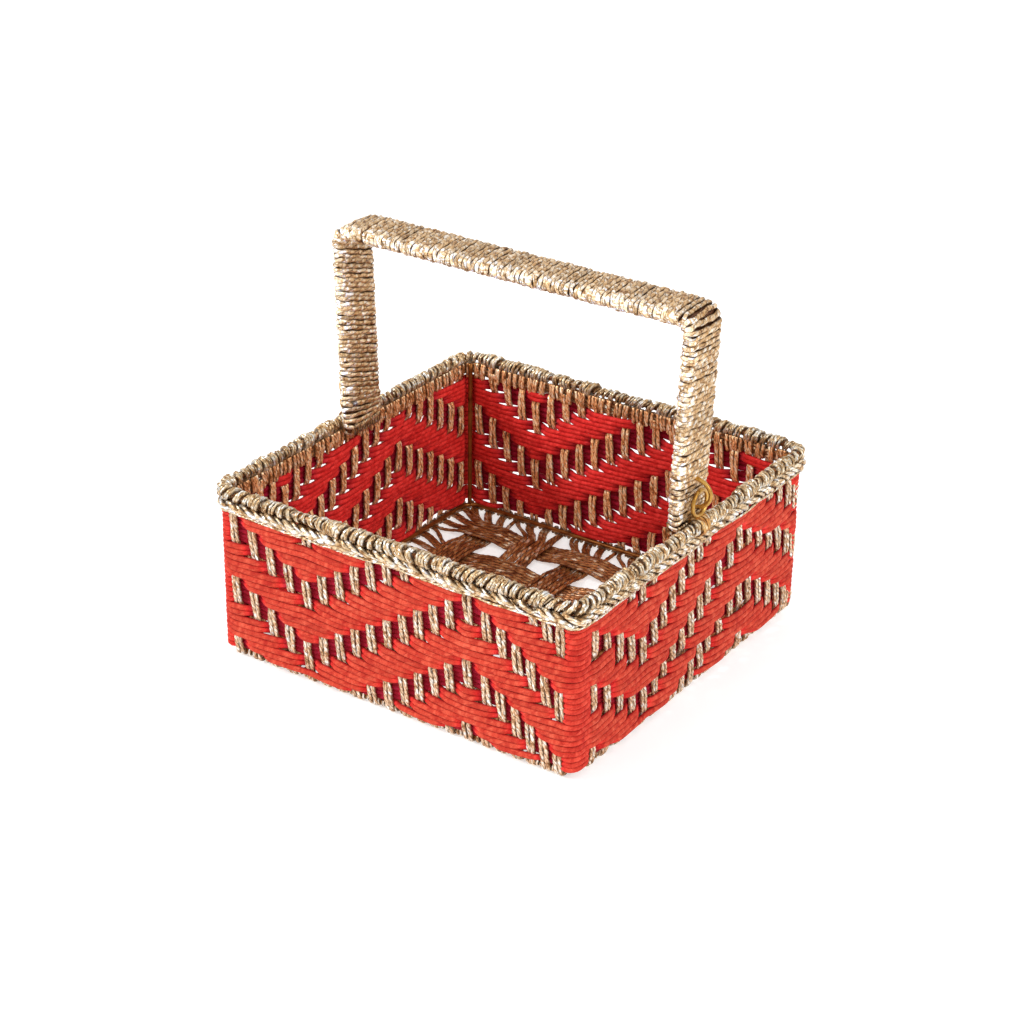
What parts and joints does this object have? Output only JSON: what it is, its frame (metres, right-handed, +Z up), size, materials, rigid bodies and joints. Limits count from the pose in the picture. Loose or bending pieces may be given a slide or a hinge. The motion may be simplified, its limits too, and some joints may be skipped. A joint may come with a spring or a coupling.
{
  "type": "gift basket",
  "caption": "Square woven basket on a wire frame, with a wrapped rim and a cord-wound handle that folds to either side.",
  "frame": {"origin": "centre of the underside, on the surface that the basket stands on", "axes": "+Z up; the handle spans along X, from the left side at -X to the right side at +X; the front wall is at -Y"},
  "size_m": [0.2758, 0.2714, 0.25],
  "materials": {
    "red_cord": "matt twisted cotton cord",
    "gold_cord": "metallic twisted cord, gold and silver",
    "brown_cord": "brown gold twisted cord",
    "bronze_wire": "bronzed wire",
    "bright_wire": "bright brass wire"
  },
  "bodies": {
    "basket": {"weft_01": "red_cord", "weft_02": "red_cord", "weft_03": "red_cord", "weft_04": "red_cord", "weft_05": "red_cord", "weft_06": "red_cord", "weft_07": "red_cord", "weft_08": "red_cord", "weft_09": "red_cord", "weft_10": "red_cord", "weft_11": "red_cord", "weft_12": "red_cord", "weft_13": "red_cord", "weft_14_single": "red_cord", "braid_and_warps_right": "gold_cord", "braid_and_warps_back": "gold_cord", "braid_and_warps_left": "gold_cord", "braid_and_warps_front": "gold_cord", "rim_roll": "gold_cord", "rim_wire": "bronze_wire", "base_wire": "bronze_wire", "corner_post_right_back": "bronze_wire", "corner_post_left_back": "bronze_wire", "corner_post_left_front": "bronze_wire", "corner_post_right_front": "bronze_wire", "base_band_x_1": "brown_cord", "base_band_x_2": "brown_cord", "base_band_x_3": "brown_cord", "base_band_x_4": "brown_cord", "base_band_x_5": "brown_cord", "base_band_x_6": "brown_cord", "base_band_y_1": "brown_cord", "base_band_y_2": "brown_cord", "base_band_y_3": "brown_cord", "base_band_y_4": "brown_cord", "base_band_y_5": "brown_cord", "base_band_y_6": "brown_cord", "rim_eye_left": "bright_wire", "rim_eye_right": "bright_wire"},
    "handle": {"handle_core": "bronze_wire", "handle_winding": "gold_cord", "handle_hook_left": "bright_wire", "handle_hook_right": "bright_wire"}
  },
  "joints": [
    {"name": "handle_fold", "type": "hinge", "parent": "basket", "child": "handle", "pos_m": [0, 0, 0.12785], "axis": [1, 0, 0], "range_deg": [-78, 78]}
  ]
}
